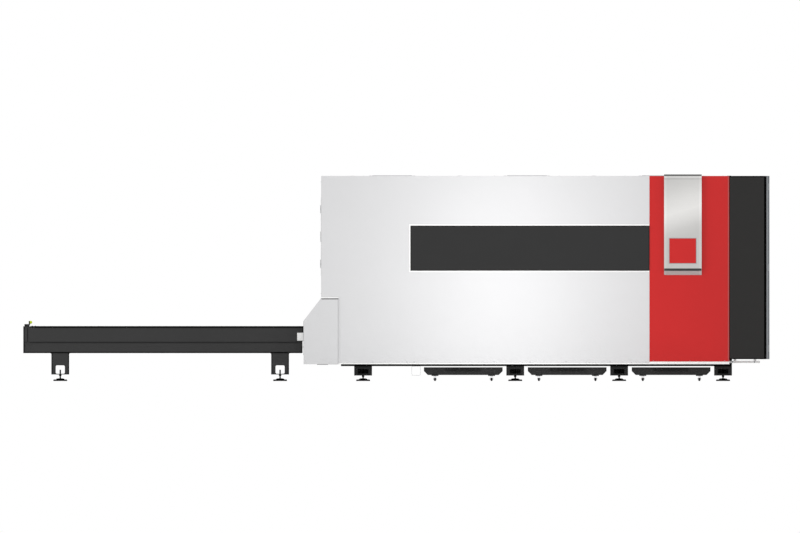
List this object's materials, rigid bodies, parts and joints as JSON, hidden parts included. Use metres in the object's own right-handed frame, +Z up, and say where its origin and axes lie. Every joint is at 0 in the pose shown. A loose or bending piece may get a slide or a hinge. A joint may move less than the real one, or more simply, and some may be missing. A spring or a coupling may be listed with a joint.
{
  "type": "fiber laser cutting machine",
  "caption": "Enclosed sheet laser cutter with gantry, cutting head, long side window, scrap trays and a two-level pallet exchange station.",
  "frame": {"origin": "on the floor at the centre of the whole machine", "axes": "+X from the exchange station to the operator doors, +Z up, the window side faces -Y"},
  "size_m": [8.208, 2.498, 2.273],
  "materials": {
    "white_enclosure": "semi-gloss white powder coat",
    "red_enclosure": "semi-gloss red powder coat",
    "charcoal_frame": "satin charcoal powder coat",
    "black_bed": "satin black enamel",
    "grey_steelwork": "satin machine grey",
    "bright_steel": "ground steel",
    "brushed_band": "brushed stainless",
    "mill_steel": "hot rolled sheet, laser cut",
    "light_tube": "light grey paint",
    "door_aluminium": "satin anodised",
    "smoked_glass": "dark laser safety pane",
    "anodised_head": "satin anodised",
    "copper_nozzle": "turned copper",
    "castor_rubber": "black rubber tread"
  },
  "bodies": {
    "root": {"bed_frame": "black_bed", "levelling_feet": "black_bed", "x_rails": "bright_steel", "x_racks": "bright_steel", "pallet_tracks": "grey_steelwork", "scrap_chutes": "grey_steelwork", "lifting_tube": "light_tube", "exchange_frame": "charcoal_frame", "exchange_motor": "black_bed", "exchange_chains": "bright_steel", "pallet_sensor": "black_bed", "near_side_panel": "white_enclosure", "near_window": "smoked_glass", "far_side_panel": "white_enclosure", "red_panels": "red_enclosure", "steel_band": "brushed_band", "badge_plate": "red_enclosure", "end_wall": "white_enclosure", "tunnel_hood": "white_enclosure", "roof_panels": "white_enclosure", "sill_frame": "white_enclosure", "end_bay_shell": "charcoal_frame", "door_hinges": "bright_steel", "electrical_cabinet": "charcoal_frame", "laser_source": "charcoal_frame"},
    "gantry": {"gantry_beam": "grey_steelwork", "gantry_rails": "bright_steel", "x_motors": "black_bed"},
    "near_x_pinion": {"near_x_pinion": "bright_steel"},
    "far_x_pinion": {"far_x_pinion": "bright_steel"},
    "carriage": {"y_carriage": "grey_steelwork", "y_motor": "black_bed"},
    "y_pinion": {"y_pinion": "bright_steel"},
    "cutting_head": {"z_slide": "anodised_head", "cutting_head": "anodised_head", "nozzle": "copper_nozzle"},
    "exchange_shaft": {"exchange_shaft": "bright_steel"},
    "near_door": {"near_door": "door_aluminium", "near_door_window": "smoked_glass"},
    "far_door": {"far_door": "door_aluminium", "far_door_window": "smoked_glass"},
    "lift_door": {"lift_door": "charcoal_frame"},
    "service_hatch": {"service_hatch": "white_enclosure"},
    "upper_pallet": {"upper_pallet_frame": "charcoal_frame", "upper_pallet_slats": "mill_steel"},
    "upper_pallet_rear_wheels": {"upper_pallet_rear_wheels": "bright_steel"},
    "upper_pallet_front_wheels": {"upper_pallet_front_wheels": "bright_steel"},
    "lower_pallet": {"lower_pallet_frame": "charcoal_frame", "lower_pallet_slats": "mill_steel"},
    "lower_pallet_rear_wheels": {"lower_pallet_rear_wheels": "bright_steel"},
    "lower_pallet_front_wheels": {"lower_pallet_front_wheels": "bright_steel"},
    "tray_1": {"tray_1": "charcoal_frame"},
    "tray_1_front_wheels": {"tray_1_front_wheels": "castor_rubber"},
    "tray_1_rear_wheels": {"tray_1_rear_wheels": "castor_rubber"},
    "tray_2": {"tray_2": "charcoal_frame"},
    "tray_2_front_wheels": {"tray_2_front_wheels": "castor_rubber"},
    "tray_2_rear_wheels": {"tray_2_rear_wheels": "castor_rubber"},
    "tray_3": {"tray_3": "charcoal_frame"},
    "tray_3_front_wheels": {"tray_3_front_wheels": "castor_rubber"},
    "tray_3_rear_wheels": {"tray_3_rear_wheels": "castor_rubber"}
  },
  "joints": [
    {"name": "gantry_slide", "type": "slide", "parent": "root", "child": "gantry", "axis": [1, 0, 0], "range_m": [0, 3]},
    {"name": "near_x_pinion_spin", "type": "hinge", "parent": "gantry", "child": "near_x_pinion", "pos_m": [-0.181, -1.097, 0.714], "axis": [0, 0, 1], "continuous": true},
    {"name": "far_x_pinion_spin", "type": "hinge", "parent": "gantry", "child": "far_x_pinion", "pos_m": [-0.181, 1.097, 0.714], "axis": [0, 0, 1], "continuous": true},
    {"name": "carriage_slide", "type": "slide", "parent": "gantry", "child": "carriage", "axis": [0, 1, 0], "range_m": [-0.75, 0.75]},
    {"name": "y_pinion_spin", "type": "hinge", "parent": "carriage", "child": "y_pinion", "pos_m": [0.19, 0.185, 0.973], "axis": [1, 0, 0], "continuous": true},
    {"name": "head_lift", "type": "slide", "parent": "carriage", "child": "cutting_head", "axis": [0, 0, 1], "range_m": [-0.12, 0]},
    {"name": "exchange_shaft_spin", "type": "hinge", "parent": "root", "child": "exchange_shaft", "pos_m": [-4.03, 0, 0.429], "axis": [0, 1, 0], "continuous": true},
    {"name": "near_door_hinge", "type": "hinge", "parent": "root", "child": "near_door", "pos_m": [4.094, -1.19, 1.248], "axis": [0, 0, -1], "range_deg": [0, 105]},
    {"name": "far_door_hinge", "type": "hinge", "parent": "root", "child": "far_door", "pos_m": [4.094, 1.19, 1.248], "axis": [0, 0, 1], "range_deg": [0, 105]},
    {"name": "lift_door_slide", "type": "slide", "parent": "root", "child": "lift_door", "axis": [0, 0, 1], "range_m": [0, 0.22]},
    {"name": "service_hatch_hinge", "type": "hinge", "parent": "root", "child": "service_hatch", "pos_m": [-0.833, 0.35, 1.59], "axis": [0, 0, -1], "range_deg": [0, 100]},
    {"name": "upper_pallet_slide", "type": "slide", "parent": "root", "child": "upper_pallet", "axis": [1, 0, 0], "range_m": [0, 4.329]},
    {"name": "upper_pallet_rear_wheels_spin", "type": "hinge", "parent": "upper_pallet", "child": "upper_pallet_rear_wheels", "pos_m": [-3.855, 0, 0.4653], "axis": [0, 1, 0], "continuous": true},
    {"name": "upper_pallet_front_wheels_spin", "type": "hinge", "parent": "upper_pallet", "child": "upper_pallet_front_wheels", "pos_m": [-1.045, 0, 0.4653], "axis": [0, 1, 0], "continuous": true},
    {"name": "lower_pallet_slide", "type": "slide", "parent": "root", "child": "lower_pallet", "axis": [1, 0, 0], "range_m": [-4.329, 0]},
    {"name": "lower_pallet_rear_wheels_spin", "type": "hinge", "parent": "lower_pallet", "child": "lower_pallet_rear_wheels", "pos_m": [0.474, 0, 0.3493], "axis": [0, 1, 0], "continuous": true},
    {"name": "lower_pallet_front_wheels_spin", "type": "hinge", "parent": "lower_pallet", "child": "lower_pallet_front_wheels", "pos_m": [3.284, 0, 0.3493], "axis": [0, 1, 0], "continuous": true},
    {"name": "tray_1_slide", "type": "slide", "parent": "root", "child": "tray_1", "axis": [0, -1, 0], "range_m": [0, 1.5]},
    {"name": "tray_1_front_wheels_spin", "type": "hinge", "parent": "tray_1", "child": "tray_1_front_wheels", "pos_m": [0.736, -1.04, 0.025], "axis": [1, 0, 0], "continuous": true},
    {"name": "tray_1_rear_wheels_spin", "type": "hinge", "parent": "tray_1", "child": "tray_1_rear_wheels", "pos_m": [0.736, 0.87, 0.025], "axis": [1, 0, 0], "continuous": true},
    {"name": "tray_2_slide", "type": "slide", "parent": "root", "child": "tray_2", "axis": [0, -1, 0], "range_m": [0, 1.5]},
    {"name": "tray_2_front_wheels_spin", "type": "hinge", "parent": "tray_2", "child": "tray_2_front_wheels", "pos_m": [1.879, -1.04, 0.025], "axis": [1, 0, 0], "continuous": true},
    {"name": "tray_2_rear_wheels_spin", "type": "hinge", "parent": "tray_2", "child": "tray_2_rear_wheels", "pos_m": [1.879, 0.87, 0.025], "axis": [1, 0, 0], "continuous": true},
    {"name": "tray_3_slide", "type": "slide", "parent": "root", "child": "tray_3", "axis": [0, -1, 0], "range_m": [0, 1.5]},
    {"name": "tray_3_front_wheels_spin", "type": "hinge", "parent": "tray_3", "child": "tray_3_front_wheels", "pos_m": [3.022, -1.04, 0.025], "axis": [1, 0, 0], "continuous": true},
    {"name": "tray_3_rear_wheels_spin", "type": "hinge", "parent": "tray_3", "child": "tray_3_rear_wheels", "pos_m": [3.022, 0.87, 0.025], "axis": [1, 0, 0], "continuous": true}
  ],
  "couplings": [
    {"joint": "near_x_pinion_spin", "follows": "gantry_slide", "rad_per_m": 27.778},
    {"joint": "far_x_pinion_spin", "follows": "gantry_slide", "rad_per_m": -27.778},
    {"joint": "y_pinion_spin", "follows": "carriage_slide", "rad_per_m": -31.25},
    {"joint": "exchange_shaft_spin", "follows": "upper_pallet_slide", "rad_per_m": 18.182},
    {"joint": "upper_pallet_rear_wheels_spin", "follows": "upper_pallet_slide", "rad_per_m": 33.333},
    {"joint": "upper_pallet_front_wheels_spin", "follows": "upper_pallet_slide", "rad_per_m": 33.333},
    {"joint": "lower_pallet_slide", "follows": "upper_pallet_slide", "ratio": -1},
    {"joint": "lower_pallet_rear_wheels_spin", "follows": "upper_pallet_slide", "rad_per_m": -33.333},
    {"joint": "lower_pallet_front_wheels_spin", "follows": "upper_pallet_slide", "rad_per_m": -33.333},
    {"joint": "tray_1_front_wheels_spin", "follows": "tray_1_slide", "rad_per_m": 40},
    {"joint": "tray_1_rear_wheels_spin", "follows": "tray_1_slide", "rad_per_m": 40},
    {"joint": "tray_2_front_wheels_spin", "follows": "tray_2_slide", "rad_per_m": 40},
    {"joint": "tray_2_rear_wheels_spin", "follows": "tray_2_slide", "rad_per_m": 40},
    {"joint": "tray_3_front_wheels_spin", "follows": "tray_3_slide", "rad_per_m": 40},
    {"joint": "tray_3_rear_wheels_spin", "follows": "tray_3_slide", "rad_per_m": 40}
  ]
}
